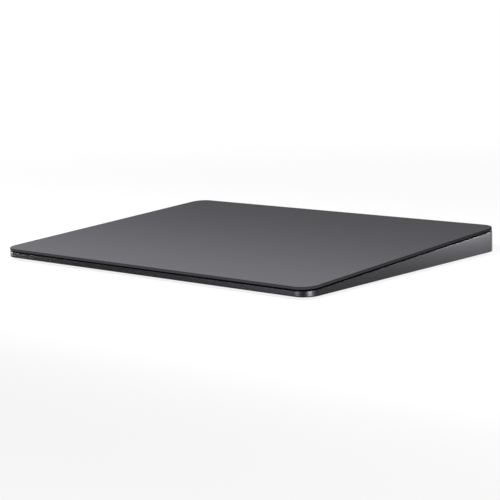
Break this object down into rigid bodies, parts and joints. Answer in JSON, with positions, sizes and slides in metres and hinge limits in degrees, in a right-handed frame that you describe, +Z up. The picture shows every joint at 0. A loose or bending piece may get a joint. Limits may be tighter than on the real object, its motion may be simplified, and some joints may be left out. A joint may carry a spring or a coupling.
{
  "type": "trackpad",
  "caption": "Flat wedge-shaped desktop touch pad: matt glass surface floating on sprung corners over a shallow metal tub with round feet, rear charging socket and sliding power switch.",
  "frame": {"origin": "middle of the footprint, on the desk surface that the feet stand on", "axes": "+X to the user's right along the longest side, +Y away from the user towards the thick rear edge, +Z up"},
  "size_m": [0.16, 0.115, 0.0109],
  "materials": {
    "touch_glass": "matt etched glass over a dark grey backing",
    "anodised_case": "bead-blasted dark grey anodised",
    "plain_aluminium": "mill finish",
    "spring_steel": "cold rolled",
    "plain_steel": "plain",
    "plated_steel": "nickel plated",
    "port_steel": "satin",
    "copper_winding": "enamelled copper",
    "gold_contacts": "gold plated",
    "circuit_board": "solder-masked laminate",
    "chip_resin": "moulded epoxy",
    "connector_plastic": "moulded",
    "sensor_film": "foil on film",
    "ribbon_film": "polyimide film",
    "battery_pouch": "laminated foil pouch",
    "adhesive_tape": "stretch-release tape",
    "black_foam": "closed-cell foam",
    "gel_rubber": "silicone gel",
    "foot_rubber": "matt moulded",
    "aerial_plastic": "moulded, matched to the case",
    "switch_plastic": "moulded",
    "knob_plastic": "moulded",
    "green_film": "printed film"
  },
  "bodies": {
    "base": {"lower_case": "anodised_case", "edge_seal": "black_foam", "force_gauges": "sensor_film", "spring_screws": "plated_steel", "drive_plate": "plain_steel", "drive_core": "plain_steel", "drive_coils": "copper_winding", "drive_screws": "plated_steel", "battery_cell": "battery_pouch", "battery_adhesive": "adhesive_tape", "battery_guard_board": "circuit_board", "logic_board": "circuit_board", "board_screws": "plated_steel", "battery_connector": "connector_plastic", "drive_connector": "connector_plastic", "sensor_connector": "connector_plastic", "radio_shield": "plated_steel", "main_chip": "chip_resin", "touch_chip": "chip_resin", "charge_chip": "chip_resin", "board_passives": "chip_resin", "port_shell": "port_steel", "port_contacts": "gold_contacts", "port_strap": "plated_steel", "strap_screws": "plated_steel", "aerial_window": "aerial_plastic", "aerial_strip": "ribbon_film", "switch_tray": "switch_plastic", "switch_indicator": "green_film", "switch_module": "connector_plastic", "drive_ribbon": "ribbon_film", "battery_ribbon": "ribbon_film", "sensor_ribbon": "ribbon_film", "force_ribbon_left": "ribbon_film", "force_ribbon_right": "ribbon_film", "force_connector_left": "connector_plastic", "force_connector_right": "connector_plastic", "force_spring_front_left": "spring_steel", "force_spring_front_right": "spring_steel", "force_spring_rear_left": "spring_steel", "force_spring_rear_right": "spring_steel", "foot_front_left": "foot_rubber", "foot_front_right": "foot_rubber", "foot_rear_left": "foot_rubber", "foot_rear_right": "foot_rubber"},
    "spring_ends": {"spring_tip_front_left": "plated_steel", "spring_tip_front_right": "plated_steel", "spring_tip_rear_left": "plated_steel", "spring_tip_rear_right": "plated_steel"},
    "surface": {"glass_plate": "touch_glass", "sensor_sheet": "circuit_board", "stiffener_plate": "plain_aluminium", "armature_plate": "spring_steel", "gel_pad_front_left": "gel_rubber", "gel_pad_front_right": "gel_rubber", "gel_pad_rear_left": "gel_rubber", "gel_pad_rear_right": "gel_rubber"},
    "switch": {"switch_knob": "knob_plastic"}
  },
  "joints": [
    {"name": "surface_press", "type": "slide", "parent": "base", "child": "spring_ends", "axis": [0, 0.0523, -0.9986], "range_m": [0, 0.00025], "stiffness_N_per_m": 12000, "springref_m": -0.0002, "deforming": ["force_spring_front_left", "force_spring_front_right", "force_spring_rear_left", "force_spring_rear_right", "sensor_ribbon"]},
    {"name": "haptic_shift", "type": "slide", "parent": "spring_ends", "child": "surface", "axis": [0, 0.9986, 0.0523], "range_m": [-0.00015, 0.00015], "stiffness_N_per_m": 15000},
    {"name": "power_switch", "type": "slide", "parent": "base", "child": "switch", "axis": [-1, 0, 0], "range_m": [0, 0.0024]}
  ]
}
